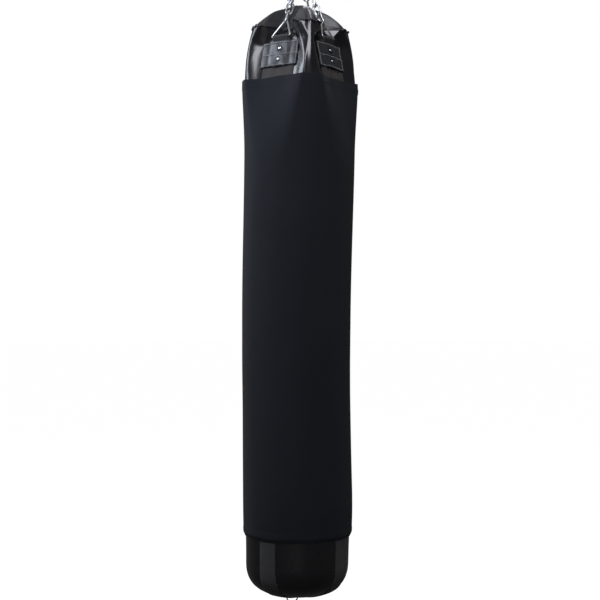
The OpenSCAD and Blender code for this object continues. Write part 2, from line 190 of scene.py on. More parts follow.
def bow(h):
    """Sideways shift of the bag's middle."""
    return -BOW * smoothstep(0.25, 0.75, h) * (1 - smoothstep(0.85, 1.40, h))


def lumps(azimuth, h):
    """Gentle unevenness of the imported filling."""
    a = np.sin(3 * azimuth + 5 * h + 0.7) + np.sin(2 * azimuth - 9 * h + 2.1)
    b = np.sin(5 * azimuth + 14 * h + 4.0) + np.sin(4 * azimuth - 21 * h + 1.0)
    return 0.0006 * a + 0.0004 * b


def hem_height(azimuth):
    """Height of the gathered seam: it dips at each anchor and is scalloped all round."""
    near = np.min([np.abs(wrap(azimuth - a)) for a in ANCHORS], axis=0)
    dip = HEM_DIP * (1 - smoothstep(math.radians(7), math.radians(26), near))
    return HEM_H - dip + HEM_SCALLOP * waves(azimuth, (37, 59, 73), 3)


# Each corner has a pleat: (side, crease at the top, crease low down, ridge at the top, depth).
# Angles are from the corner, in degrees, and side -1 puts the tuck on the lower azimuths.
PLEATS = [
    (-1, 20, 7.5, 2.5, 1.0),
    (1, 17, 8.0, 3.0, 0.7),
    (-1, 22, 9.0, 2.0, 0.9),
    (1, 19, 7.0, 3.5, 0.25),
]
DEGREE = 0.16 * math.radians(1)  # length of one degree round the bag
# Each corner's lobe is widened by this share of the full panel, so that it stays near its CAD solid.
PANEL_SHARE = 0.62
PANEL_FALL = 4.5  # how steeply the widened lobe falls away at its fold
PANEL_EDGE = 0.0035


def shoulder_rise(h):
    """Zero below the shoulder, rising to 1 at the gathered seam."""
    return np.clip((h - SHOULDER_H) / (HEM_H - SHOULDER_H), 0, 1)


def each_pleat(azimuth, h):
    """For each pleat: degrees from its corner, metres past its crease, its ridge and its depth."""
    rise = shoulder_rise(h)
    for corner, (side, top, low, ridge, depth) in zip(CORNERS, PLEATS):
        turn = np.degrees(wrap(azimuth - corner)) * side
        yield turn, (turn - low - (top - low) * rise**3) * DEGREE, ridge, depth


def pleats(azimuth, h):
    """Outward shift of the skin at the corner pleats: a tuck beside a rounded crease, a shallow
    panel, and a rounded ridge with a drop beyond it."""
    out = np.zeros_like(azimuth + h)
    fade = smoothstep(1.510, 1.640, h)
    rise = shoulder_rise(h)
    for turn, s, ridge, depth in each_pleat(azimuth, h):
        r = (-ridge * rise - turn) * DEGREE
        tuck = np.where(s > 0, -0.007 * np.exp(-s / 0.020) * (1 - np.exp(-s / 0.006)), 0)
        lip = 0.0014 * np.exp(-(((s + 0.0030) / 0.0050) ** 2))
        deep = 0.006 + 0.010 * rise**2
        drop = np.where(r > 0, -deep * (1 - np.exp(-np.abs(r / 0.012) ** 1.8)) * np.exp(-r / 0.045), 0)
        crest = 0.0024 * np.exp(-(((r + 0.0030) / 0.0060) ** 2)) * smoothstep(0.0, 0.5, rise)
        out = out + depth * fade * (tuck + lip + drop + crest)
    return out


def puckers(azimuth, h):
    """Small folds that run down from the gathered seam."""
    below = np.maximum(hem_height(azimuth) - h, 0)
    small = 0.0014 * np.exp(-below / 0.008) * waves(azimuth, (23, 31, 47), 5)
    large = 0.0010 * np.exp(-below / 0.024) * waves(azimuth, (7, 11, 15), 9)
    return small + large


def panels(azimuth, h, r):
    """Radius with each corner's lobe widened by its pleat's panel, which ends in a steep fold."""
    spread = smoothstep(0.0, 0.35, shoulder_rise(h))
    for turn, past, ridge, depth in each_pleat(azimuth, h):
        beyond = (-ridge - turn) * DEGREE
        cut = rounded(past, PANEL_EDGE) + rounded(beyond, PANEL_EDGE)
        panel = skin_tube(h) - PANEL_FALL * cut
        r = r + PANEL_SHARE * depth**2 * spread * (soft_max(r, panel, 0.003) - r)
    return r


def skin_radius(azimuth, h):
    """Distance from the axis to the finished skin."""
    r = panels(azimuth, h, form_radius(azimuth, h)) + lumps(azimuth, h)
    return r + pleats(azimuth, h) + puckers(azimuth, h)


def polar(azimuth, r, h):
    """Points in the frame from azimuth, distance from the bag's axis and height."""
    azimuth, r, h = np.broadcast_arrays(azimuth, r, h)
    return np.stack([r * np.sin(azimuth) + bow(h), -r * np.cos(azimuth), BASE + h], axis=-1)


# ---------------------------------------------------------------- meshes


def mesh_object(name, points, faces, uvs=None):
    """Mesh object from points, faces and, for each face corner, a texture place."""
    mesh = bpy.data.meshes.new(name)
    mesh.from_pydata([tuple(p) for p in points], [], faces)
    if uvs is not None:
        layer = mesh.uv_layers.new(name="UVMap")
        layer.data.foreach_set("uv", np.asarray(uvs, np.float32).ravel())
    mesh.shade_smooth()
    obj = bpy.data.objects.new(name, mesh)
    bpy.context.scene.collection.objects.link(obj)
    return obj


def grid_faces(rows, cols, round_cols=False, round_rows=False):
    """Faces of a grid of points, closed on itself where it is round."""
    faces = []
    for i in range(rows if round_rows else rows - 1):
        for j in range(cols if round_cols else cols - 1):
            a, b = i * cols, ((i + 1) % rows) * cols
            k = (j + 1) % cols
            faces.append((a + j, a + k, b + k, b + j))
    return faces


def grid_uvs(u, v, round_cols=False):
    """Texture places of a grid's face corners."""
    u, v = np.broadcast_arrays(u, v)
    step_u = u[:, -1] - u[:, -2]
    uvs = []
    rows, cols = u.shape
    for i in range(rows - 1):
        for j in range(cols if round_cols else cols - 1):
            k = (j + 1) % cols
            u1 = u[:, k] if k else u[:, j] + step_u
            uvs += [(u[i, j], v[i, j]), (u1[i], v[i, k])]
            uvs += [(u1[i + 1], v[i + 1, k]), (u[i + 1, j], v[i + 1, j])]
    return uvs


def grid_object(name, grid, uv=None, round_cols=False, caps=()):
    """Mesh from a grid of points. uv is the texture place of each point as (u, v) arrays, in metres.
    caps closes the first or last row of a round grid onto its middle point."""
    rows, cols = grid.shape[:2]
    points = grid.reshape(-1, 3)
    faces = grid_faces(rows, cols, round_cols)
    uvs = None if uv is None else grid_uvs(*uv, round_cols)
    for row in caps:
        middle = grid[row].mean(axis=0)
        points = np.vstack([points, middle])
        m, first = len(points) - 1, (row % rows) * cols
        for j in range(cols):
            a, b = first + j, first + (j + 1) % cols
            faces.append((m, b, a) if row == 0 else (m, a, b))
            if uvs is not None:
                uvs += [(0, 0), (0, 0), (0, 0)]
    return mesh_object(name, points, faces, uvs)


def finish_piece(obj, material, slot, *nodes):
    """Gives a piece its material and hides the CAD nodes that it stands for. All ride on the bag. The slot
    argument is not used.
    """
    obj.data.materials.clear()
    obj.data.materials.append(material)
    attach(obj, BAG)
    if nodes:
        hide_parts(*nodes)


def add_modifier(obj, kind, **settings):
    modifier = obj.modifiers.new(kind.lower(), kind)
    for key, value in settings.items():
        setattr(modifier, key, value)


SHARP = math.radians(50)  # edges sharper than this are bevelled


def join_parts(parts):
    """One list of points and one of faces from several (points, faces) pairs."""
    points, faces, count = [], [], 0
    for p, f in parts:
        points.append(np.asarray(p))
        faces += [tuple(i + count for i in face) for face in f]
        count += len(p)
    return np.vstack(points), faces


def unit(vectors):
    return vectors / np.linalg.norm(vectors, axis=1)[:, None]


def distances(points):
    """Distance of each point of a path from its start, along the path."""
    steps = np.linalg.norm(np.diff(points, axis=0), axis=1)
    return np.concatenate([[0], np.cumsum(steps)])


def smooth_path(raw, count, pad, width):
    """Even points along a flat path with its corners smoothed, and their distances along it."""
    raw = np.array(raw)
    reach = distances(raw)
    s = np.linspace(0, reach[-1], count)
    even = np.stack([np.interp(s, reach, raw[:, c]) for c in (0, 1)], axis=1)
    kernel = np.exp(-0.5 * (np.arange(-pad, pad + 1) / width) ** 2)
    kernel = kernel / kernel.sum()
    padded = np.vstack([even[:1]] * pad + [even] + [even[-1:]] * pad)
    return np.stack([np.convolve(padded[:, c], kernel, "valid") for c in (0, 1)], axis=1), s


def tube_part(path, radius, sides=12, closed=False, normal=None):
    """(points, faces) of a round tube along a path. normal is a fixed direction for a flat path."""
    path = np.asarray(path, float)
    n = len(path)
    if closed:
        tangent = np.roll(path, -1, 0) - np.roll(path, 1, 0)
    else:
        tangent = np.gradient(path, axis=0)
    tangent = unit(tangent)
    if normal is None:
        normal = np.array([0.3, 0.2, 1.0]) if abs(tangent[0][2]) < 0.8 else np.array([1.0, 0.2, 0.1])
    side = unit(np.cross(tangent, normal))
    over = np.cross(side, tangent)
    angle = np.linspace(0, 2 * np.pi, sides, endpoint=False)
    r = np.broadcast_to(radius, n)[:, None, None]
    ring = np.cos(angle)[None, :, None] * side[:, None] + np.sin(angle)[None, :, None] * over[:, None]
    points = (path[:, None] + r * ring).reshape(-1, 3)
    faces = grid_faces(n, sides, round_cols=True, round_rows=closed)
    if not closed:
        faces.append(tuple(range(sides))[::-1])
        faces.append(tuple((n - 1) * sides + j for j in range(sides)))
    return points, faces


# ---------------------------------------------------------------- materials

WAVE_LENGTH = 0.314  # length of one wave of a wave texture whose scale is 1


class Nodes:
    """Short way to build a material's nodes. A link is given as a socket, and anything else as a value."""

    def __init__(self, name):
        self.material = bpy.data.materials.new(name)
        self.material.use_nodes = True
        self.tree = self.material.node_tree
        self.shader = self.tree.nodes["Principled BSDF"]

    def set(self, socket, value):
        if isinstance(value, bpy.types.NodeSocket):
            self.tree.links.new(value, socket)
        else:
            socket.default_value = value

    def node(self, kind, inputs=(), **settings):
        node = self.tree.nodes.new("ShaderNode" + kind)
        for key, value in settings.items():
            setattr(node, key, value)
        for key, value in dict(inputs).items():
            self.set(node.inputs[key], value)
        return node

    def place(self, source="Object", scale=(1, 1, 1)):
        coordinates = self.node("TexCoord").outputs[source]
        return self.node("Mapping", {"Vector": coordinates, "Scale": scale}).outputs[0]

    def noise(self, place, scale, detail=3.0, roughness=0.55):
        settings = {"Vector": place, "Scale": scale, "Detail": detail, "Roughness": roughness}
        return self.node("TexNoise", settings).outputs["Fac"]

    def ramp(self, value, *stops):
        """Colour ramp. A stop is (position, grey level or colour)."""
        node = self.node("ValToRGB", {"Fac": value})
        elements = node.color_ramp.elements
        while len(elements) < len(stops):
            elements.new(0.5)
        for element, (position, colour) in zip(elements, stops):
            element.position = position
            element.color = (colour,) * 3 + (1,) if isinstance(colour, float) else (*colour, 1)
        return node.outputs["Color"]

    def scale_range(self, value, low, high):
        settings = {"Value": value, "To Min": low, "To Max": high}
        return self.node("MapRange", settings).outputs["Result"]

    def math(self, operation, a, b=0.0):
        return self.node("Math", {0: a, 1: b}, operation=operation).outputs[0]

    def waves(self, place, pitch, distortion, direction):
        """Parallel waves with a pitch in metres."""
        inputs = {"Vector": place, "Scale": WAVE_LENGTH / pitch, "Distortion": distortion}
        return self.node("TexWave", inputs, bands_direction=direction).outputs["Fac"]

    def bump(self, height, strength, distance, normal=None):
        inputs = {"Height": height, "Strength": strength, "Distance": distance}
        if normal is not None:
            inputs["Normal"] = normal
        return self.node("Bump", inputs).outputs["Normal"]

    def finish(self, **inputs):
        for key, value in inputs.items():
            self.set(self.shader.inputs[key.replace("_", " ")], value)
        return self.material


def leather(name, dark, light, rough, grain, coat=0.0, grain_size=900, wrinkle=0.0):
    """Coated leather or vinyl: pebbled grain, cloudy colour and roughness, and faint creases."""
    m = Nodes(name)
    place = m.place()
    cloud = m.noise(place, 7.0, 5.0)
    fine = m.noise(place, 60.0, 4.0)
    pebbles = {"Vector": place, "Scale": grain_size}
    cells = m.node("TexVoronoi", pebbles, feature="SMOOTH_F1").outputs["Distance"]
    crease = m.noise(m.place(scale=(1, 1, 0.35)), 38.0, 6.0, 0.65)
    colour = m.ramp(m.math("MULTIPLY", m.math("ADD", cloud, fine), 0.5), (0.32, dark), (0.68, light))
    normal = m.bump(cells, grain, 0.0004)
    normal = m.bump(crease, wrinkle, 0.003, normal) if wrinkle else normal
    shine = m.scale_range(m.math("MULTIPLY", m.math("ADD", cloud, fine), 0.5), rough[0], rough[1])
    return m.finish(Base_Color=colour, Roughness=shine, Normal=normal, Coat_Weight=coat, Coat_Roughness=0.12)


def cloth(name, dark, light, pitch, rough=0.95, sheen=0.06):
    """Woven or knitted cloth on a piece whose texture places are in metres."""
    m = Nodes(name)
    place = m.place("UV")
    cloud = m.noise(m.place(), 5.0, 5.0)
    fibre = m.noise(m.place(), 420.0, 3.0)
    across = m.waves(place, pitch, 0.6, "X")
    along = m.waves(place, pitch, 0.6, "Y")
    threads = m.math("MULTIPLY", across, along)
    tone = m.math("ADD", m.math("MULTIPLY", cloud, 0.65), m.math("MULTIPLY", fibre, 0.35))
    colour = m.ramp(tone, (0.30, dark), (0.70, light))
    normal = m.bump(threads, 0.5, 0.0003)
    normal = m.bump(fibre, 0.25, 0.0004, normal)
    return m.finish(
        Base_Color=colour, Roughness=rough, Normal=normal, Sheen_Weight=sheen, Sheen_Roughness=0.5,
        Specular_IOR_Level=0.25
    )


def webbing(name, dark, light, rib, cross):
    """Ribbed webbing: cords along it at the pitch rib, crossed by picks at the pitch cross."""
    m = Nodes(name)
    place = m.place("UV")
    ribs = m.waves(place, rib, 0.3, "X")
    picks = m.waves(place, cross, 1.2, "DIAGONAL")
    fuzz = m.noise(m.place(), 500.0, 3.0)
    tone = m.math("ADD", m.math("MULTIPLY", ribs, 0.45), m.math("MULTIPLY", fuzz, 0.55))
    height = m.math("ADD", ribs, m.math("MULTIPLY", picks, 0.45))
    colour = m.ramp(tone, (0.28, dark), (0.75, light))
    return m.finish(
        Base_Color=colour, Roughness=0.82, Normal=m.bump(height, 0.6, 0.0005), Sheen_Weight=0.15
    )


def metal(name, colour, rough, scratch=0.15, tarnish=0.0):
    """Plated steel: cloudy plating, fine scratches and darker, rougher patches."""
    m = Nodes(name)
    place = m.place()
    cloud = m.noise(place, 90.0, 5.0)
    streak = m.noise(m.place(scale=(1, 1, 0.12)), 900.0, 2.0)
    worn = tuple(c * (1 - tarnish) for c in colour)
    tint = m.ramp(cloud, (0.30, worn), (0.62, colour))
    shine = m.scale_range(cloud, rough + 0.14, rough)
    return m.finish(
        Base_Color=tint, Metallic=1.0, Roughness=shine, Normal=m.bump(streak, scratch, 0.0002)
    )


SKIN = leather("skin_leather", (0.005, 0.005, 0.0065), (0.010, 0.010, 0.0125), (0.22, 0.34), 0.06, 0.25,
               wrinkle=0.14)
CAP = leather("cap_leather", (0.020, 0.020, 0.023), (0.044, 0.043, 0.047), (0.34, 0.48), 0.25, grain_size=700)
HEM = leather("hem_leather", (0.010, 0.010, 0.012), (0.022, 0.022, 0.025), (0.34, 0.50), 0.25, wrinkle=0.3)
PATCH = leather("patch_leather", (0.020, 0.021, 0.025), (0.042, 0.043, 0.050), (0.28, 0.44), 0.40,
                grain_size=620)
SLEEVE = cloth("sleeve_cloth", (0.0092, 0.0112, 0.0160), (0.0130, 0.0156, 0.0218), 0.0011)
WEBBING = webbing("webbing", (0.016, 0.016, 0.018), (0.045, 0.045, 0.050), 0.0022, 0.0016)
BAND = webbing("ribbed_webbing", (0.018, 0.015, 0.0145), (0.050, 0.044, 0.041), 0.0045, 0.0020)
THREAD = cloth("stitch_thread", (0.34, 0.34, 0.35), (0.62, 0.62, 0.63), 0.0006, 0.8, 0.1)
DARK_THREAD = cloth("dark_thread", (0.014, 0.015, 0.019), (0.030, 0.032, 0.040), 0.0006, 0.8, 0.1)
ZINC = metal("zinc_steel", (0.74, 0.75, 0.77), 0.24, tarnish=0.22)
FORGED = metal("forged_steel", (0.60, 0.61, 0.63), 0.34, 0.30, 0.30)
BEARING = metal("bearing_steel", (0.80, 0.80, 0.82), 0.12, 0.05, 0.08)
DARK_STEEL = metal("dark_steel", (0.060, 0.060, 0.066), 0.36, 0.2, 0.3)
RIVET = metal("rivet_steel", (0.92, 0.92, 0.93), 0.14, 0.05, 0.06)
WASHER = metal("dark_washer", (0.050, 0.050, 0.055), 0.40, 0.2, 0.3)


# ---------------------------------------------------------------- the filled bag


def around(count):
    """Azimuths round the bag, closer together where the dents' walls are steep."""
    fine = np.linspace(-np.pi, np.pi, 7201)
    density = np.ones_like(fine)
    for anchor in ANCHORS:
        off = np.degrees(np.abs(wrap(fine - anchor)))
        density += 2.5 * np.exp(-(((off - 25) / 6) ** 2))
    reach = np.concatenate([[0], np.cumsum((density[1:] + density[:-1]) / 2)])
    return np.interp(np.arange(count) / count * reach[-1], reach, fine)[None, :]


def bottom_curve(radius_low, count):
    """Radii and heights of the rounded bottom, from a given radius out to its side."""
    start = math.acos((radius_low / BOTTOM_R) ** (BOTTOM_POWER / 2))
    a = np.linspace(start, 0, count)[:, None]
    power = 2 / BOTTOM_POWER
    return BOTTOM_R * np.cos(a) ** power, BOTTOM_H * (1 - np.sin(a) ** power)


def bottom_height(r):
    """Height of the rounded bottom at a distance from the axis."""
    ratio = np.clip(r / BOTTOM_R, 0, 1) ** BOTTOM_POWER
    return BOTTOM_H * (1 - (1 - ratio) ** (1 / BOTTOM_POWER))


def rows_between(low, high, count):
    """A column of evenly spaced values."""
    return np.linspace(low, high, count)[:, None]


def make_skin():
    azimuth = around(720)
    r_low, h_low = bottom_curve(PANEL_R, 30)
    near_seam = np.exp(-(r_low - PANEL_R) / 0.012)
    gathers = 0.0009 * waves(azimuth, (37, 53, 67), 11)
    r_low = r_low + near_seam * gathers + lumps(azimuth, h_low) * (1 - near_seam)
    heights = np.vstack([rows_between(0.114, 0.220, 24), rows_between(0.26, 1.47, 16)]) + 0 * azimuth
    top_from = 1.50
    h_top = top_from + rows_between(0, 1, 130) ** 0.85 * (hem_height(azimuth) - top_from)
    h = np.vstack([h_low + 0 * azimuth, heights, h_top])
    r = np.vstack([r_low, skin_radius(azimuth, np.vstack([heights, h_top]))])
    edge_r, edge_h = r[-1:], h[-1:]
    # The first and last rows turn inwards, so that both ends are closed out of sight.
    r = np.vstack([r[:1] * 0.5, r[:1] - 0.003, r, edge_r - 0.003, edge_r * 0.5])
    h = np.vstack([h[:1] + 0.010, h[:1] + 0.004, h, edge_h - 0.004, edge_h * 0 + HEM_H - 0.03])
    grid = polar(azimuth, r, h)
    skin = grid_object("bag_skin", grid, round_cols=True, caps=(0, -1))
    finish_piece(skin, SKIN, "skin_leather", "skin", "filling")


def cap_height(x, y):
    """Height of the top cap over a place, before its folds: a dome with four dents."""
    rho = np.hypot(x, y)
    h = HEM_H + (CAP_H - HEM_H) * (1 - (rho / HEM_R) ** 2)
    for anchor in ANCHORS:
        out = x * math.sin(anchor) - y * math.cos(anchor)
        along = np.abs(x * math.cos(anchor) + y * math.sin(anchor))
        wall = np.maximum(along - DENT["half"], 0) * math.tan(DENT["ramp"]) / math.sin(DENT["tilt"])
        h = soft_min(h, DENT["h"] + (DENT["r"] - out) / math.tan(DENT["tilt"]) + wall, 0.010)
    return h


def edge_radius(azimuth):
    """Distance from the axis to the gathered seam."""
    return skin_radius(azimuth, hem_height(azimuth))


def make_cap():
    azimuth = around(640)
    s = rows_between(0, 1, 90)[:0:-1]
    edge = edge_radius(azimuth) - 0.001
    rho = s * edge
    h = cap_height(rho * np.sin(azimuth), -rho * np.cos(azimuth))
    rim = cap_height(edge * np.sin(azimuth), -edge * np.cos(azimuth))
    h = h + (hem_height(azimuth) - rim) * s**5
    folds = 0.0036 * waves(azimuth + 0.4 * s, (5, 8, 11), 21) * s**1.5 * (1 - s**6)
    gathers = 0.0014 * waves(azimuth, (23, 37, 53), 5) * np.exp(-(1 - s) / 0.06) * (1 - s**20)
    sag = 0.0022 * np.sin(4 * azimuth + 11 * s) * s * (1 - s)
    cap = grid_object("cap", polar(azimuth, rho, h + folds + gathers + sag), round_cols=True, caps=(-1,))
    add_modifier(cap, "SOLIDIFY", thickness=0.002, offset=-1)
    finish_piece(cap, CAP, "cap_leather", "top_cap")


def make_hem():
    """Gathered roll where the skin and the cap meet."""
    azimuth = around(1100)[0]
    swell = 1 + 0.30 * waves(azimuth, (41, 67, 97), 13)
    wander = 0.0012 * waves(azimuth, (31, 47), 17)
    path = polar(azimuth, edge_radius(azimuth), hem_height(azimuth) + wander)
    roll = tube_part(path, HEM_ROLL_R * swell, 14, closed=True, normal=(0, 0, 1))
    hem = mesh_object("hem_roll", *roll)
    finish_piece(hem, HEM, "hem_leather", "gathered_hem")


def make_bottom_panel():
    azimuth = around(360)
    r_edge = PANEL_R - 0.0008
    s = rows_between(0.06, 1, 50)
    r = s * r_edge
    groove = 0.0016 * np.exp(-(r_edge - r) / 0.0025)
    pucker = 0.0005 * waves(azimuth, (37, 53), 12) * np.exp(-(r_edge - r) / 0.010)
    grid = polar(azimuth, r, bottom_height(r) + groove + pucker)
    panel = grid_object("panel", grid, round_cols=True, caps=(0,))
    add_modifier(panel, "SOLIDIFY", thickness=0.002, offset=-1)
    finish_piece(panel, SKIN, "skin_leather", "bottom_panel")


# ---------------------------------------------------------------- the sleeve

SLEEVE_T = 0.0022
SLEEVE_R = 0.166  # mean radius, which gives the sleeve's girth
HEM_FOLD = 0.026  # depth of the sleeve's folded hems
SEW_IN = 0.004  # how far inside a hem's edge it is sewn
SEAM, SEAM_R = math.radians(101), 0.168


def sleeve_radius(azimuth, h):
    """Outside of the sleeve. It bridges the hollows that the anchors pull into the bag."""
    r = sleeve_tube(h) + np.zeros_like(azimuth + h)
    for anchor in ANCHORS:
        r = soft_min(r, dent_radius(azimuth, h, anchor, SIDE, 0.040, grow=0.0058), 0.026)
    over = form_radius(azimuth, h) + SLEEVE_T + 0.0008
    r = soft_max(r, over, 0.004)
    turned_in = smoothstep(SLEEVE_LOW + 0.018, SLEEVE_LOW, h)
    fold_low = smoothstep(SLEEVE_LOW + HEM_FOLD + 0.002, SLEEVE_LOW + HEM_FOLD - 0.001, h)
    fold_top = smoothstep(SLEEVE_TOP - HEM_FOLD - 0.002, SLEEVE_TOP - HEM_FOLD + 0.001, h)
    stitch_low = np.exp(-(((h - SLEEVE_LOW - HEM_FOLD + SEW_IN) / 0.0012) ** 2))
    stitch_top = np.exp(-(((h - SLEEVE_TOP + HEM_FOLD - SEW_IN) / 0.0012) ** 2))
    welt = np.exp(-((wrap(azimuth - SEAM) * SEAM_R / 0.0016) ** 2))
    r = r + 0.0006 * (fold_low + fold_top) - 0.0005 * (stitch_low + stitch_top) + 0.0012 * welt
    return r - 0.0048 * turned_in**2


def sleeve_ripples(azimuth, h):
    """Very slight slack: long vertical waves, and soft rolls under the top edge."""
    long_waves = 0.0007 * waves(azimuth + 0.25 * np.sin(2.2 * h), (5, 8, 11), 31)
    rolls = 0.0005 * np.sin(26 * h + 1.5 * np.sin(2 * azimuth)) * smoothstep(1.25, 1.50, h)
    drag = 0.0006 * np.sin(14 * h + 3 * azimuth) * smoothstep(0.70, 0.30, h)
    return long_waves + rolls + drag


def make_sleeve():
    azimuth = around(480)
    heights = np.concatenate([
        np.linspace(SLEEVE_LOW, SLEEVE_LOW + 0.034, 24),
        np.linspace(SLEEVE_LOW + 0.045, SLEEVE_TOP - 0.045, 130),
        np.linspace(SLEEVE_TOP - 0.034, SLEEVE_TOP, 26),
    ])[:, None]
    edge = 0.0014 * waves(azimuth, (3, 5, 8), 33) * (
        smoothstep(SLEEVE_TOP - 0.2, SLEEVE_TOP, heights) - smoothstep(SLEEVE_LOW + 0.2, SLEEVE_LOW, heights)
    )
    r = sleeve_radius(azimuth, heights) + sleeve_ripples(azimuth, heights)
    grid = polar(azimuth, r, heights + edge)
    uv = (azimuth * SLEEVE_R, heights)
    sleeve = grid_object("cloth_sleeve", grid, uv, round_cols=True)
    add_modifier(sleeve, "SOLIDIFY", thickness=SLEEVE_T, offset=-1)
    add_modifier(sleeve, "BEVEL", width=0.0009, segments=3, limit_method="ANGLE", angle_limit=SHARP)
    finish_piece(sleeve, SLEEVE, "sleeve_cloth", "sleeve")


def make_seam_tab():
    """Folded end of the side seam: a small loop of cloth, pinched where it is sewn."""
    rows, cols = 26, 22
    w = np.linspace(0, 1, rows)[:, None]
    t = np.linspace(0, 2 * np.pi, cols, endpoint=False)[None, :]
    h = SLEEVE_TOP - 0.033 + 0.030 * w
    root = sleeve_radius(np.array([[SEAM]]), h) - 0.003
    reach = 0.0088 * (1 - 0.55 * smoothstep(0.55, 1.0, w)) * (1 - 0.25 * smoothstep(0.2, 0.0, w))
    half = 0.0020 * (1 + 0.4 * np.sin(3.0 * w)) * np.sin(np.pi * np.clip(w, 0.03, 0.97)) ** 0.25
    out = root + reach * (0.5 + 0.5 * np.cos(t))
    side = half * np.sin(t) * (1 - 0.3 * np.cos(t)) + 0.0012 * np.sin(5 * w)
    azimuth = SEAM + side / out
    grid = polar(azimuth, out, h)[:, ::-1]
    tab = grid_object("seam_tab", grid, (t * 0.004, h), round_cols=True, caps=(0, -1))
    finish_piece(tab, SLEEVE, "sleeve_cloth", "sleeve_seam_tab")


# ---------------------------------------------------------------- stitches


STITCH_FILL = 0.76  # share of the pitch that a stitch takes up


def stitch_parts(points, normals, radius=0.0007, pitch=0.0046):
    """Short capsules lying along a line, each dipping into the surface at its ends."""
    reach = distances(points)
    count = max(int(reach[-1] / pitch), 1)
    parts = []
    for k in range(count):
        s = (k + 0.5 + 0.5 * STITCH_FILL * np.linspace(-1, 1, 6)) * reach[-1] / count
        path = np.stack([np.interp(s, reach, points[:, c]) for c in range(3)], axis=1)
        normal = np.stack([np.interp(s, reach, normals[:, c]) for c in range(3)], axis=1)
        lift = radius * np.array([-0.5, 0.5, 0.95, 0.95, 0.5, -0.5])
        width = radius * np.array([0.45, 0.9, 1, 1, 0.9, 0.45])
        parts.append(tube_part(path + normal * lift[:, None], width, 6, normal=normal[0]))
    return parts


def stitch_object(name, parts, material, slot):
    finish_piece(mesh_object(name, *join_parts(parts)), material, slot)


def make_sleeve_stitches():
    azimuth = np.linspace(-np.pi, np.pi, 721)
    normals = np.stack([np.sin(azimuth), -np.cos(azimuth), 0 * azimuth], axis=1)
    parts = []
    for h in (SLEEVE_TOP - HEM_FOLD + SEW_IN, SLEEVE_LOW + HEM_FOLD - SEW_IN):
        heights = np.full_like(azimuth, h)
        r = sleeve_radius(azimuth, heights) + sleeve_ripples(azimuth, heights)
        parts += stitch_parts(polar(azimuth, r, heights), normals, 0.0004, pitch=0.0036)
    stitch_object("sleeve_stitches", parts, DARK_THREAD, "sleeve_cloth")


# ---------------------------------------------------------------- anchors


def on_side(i, x, v, w):
    """Points of anchor i's flat side: x across it, v outwards from the skin, w up along it."""
    x, v, w = np.broadcast_arrays(x, v, w)
    a, tilt = ANCHORS[i], SIDE["tilt"]
    out = SIDE["r"] + v * math.cos(tilt) - w * math.sin(tilt)
    h = SIDE["h"] + v * math.sin(tilt) + w * math.cos(tilt)
    return np.stack(
        [x * math.cos(a) + out * math.sin(a), x * math.sin(a) - out * math.cos(a), BASE + h], axis=-1
    )


def side_normal(i):
    """Outward direction of anchor i's flat side."""
    return on_side(i, 0.0, 1.0, 0.0) - on_side(i, 0.0, 0.0, 0.0)


# Places on a flat side, in the terms of on_side. V is the outer face.
BAND_HALF, BAND_LOW, BAND_TOP, BAND_V = 0.056, -0.135, 0.042, 0.0031
STRAP_HALF, STRAP_T = 0.0275, 0.0025
PATCH_HALF, PATCH_LOW, PATCH_TOP, PATCH_V = 0.064, 0.006, 0.085, 0.0082
PATCH_BESIDE_V, PATCH_BESIDE_X = 0.0055, 0.039  # a patch beside the strap, where it lies on the band
PATCH_SEW = 0.004
BAR_V, BAR_W = 0.0103, 0.099
RIVET_UP = (0.028, 0.062)
MIDDLE_SEAM = 0.044
RIB = 0.0045
PLEAT_PITCH = 0.019


def band_surface(i, x, w):
    """Outer face of a band: ribs along it, and on the second anchor a few standing pleats."""
    ribs = 0.00022 * np.cos(2 * np.pi * x / RIB)
    shown = smoothstep(-0.029, -0.019, w) * smoothstep(0.006, -0.002, w)
    if i == 1:
        folds = 0.0030 * np.maximum(np.sin(2 * np.pi * (x + 0.004) / PLEAT_PITCH + 5 * w), -0.2) * shown
        folds = folds * smoothstep(-0.050, -0.030, x)
    else:
        folds = 0.0007 * waves(x * 60, (1, 2, 3), 40 + i) * shown
    edge = 0.0012 * smoothstep(BAND_HALF - 0.003, BAND_HALF, np.abs(x))
    return BAND_V + ribs + folds - edge


def make_band(i):
    x = np.linspace(-BAND_HALF, BAND_HALF, 226)[None, :]
    w = np.concatenate([np.linspace(BAND_LOW, -0.034, 12), np.linspace(-0.031, 0.006, 36),
                        np.linspace(0.010, BAND_TOP, 6)])[:, None]
    grid = on_side(i, x, band_surface(i, x, w), w)
    band = grid_object(f"band_{i + 1}_ribbed", grid, (x, w))
    add_modifier(band, "SOLIDIFY", thickness=0.0022, offset=-1)
    finish_piece(band, BAND, "ribbed_webbing", f"band_{i + 1}")


def strap_path():
    """Mid line of the webbing loop as (v, w): up the front, over the ring's bar and down the back."""
    turn = np.linspace(-0.35, math.pi + 0.35, 40)
    r = 0.0046
    loop = [(BAR_V + r * math.cos(t), BAR_W + r * math.sin(t)) for t in turn]
    front = [(0.00445, 0.010 + 0.076 * k / 14) for k in range(15)]
    back = [(0.00135, 0.084 - 0.040 * k / 8) for k in range(9)]
    return smooth_path(front + loop + back, 150, 4, 1.8)


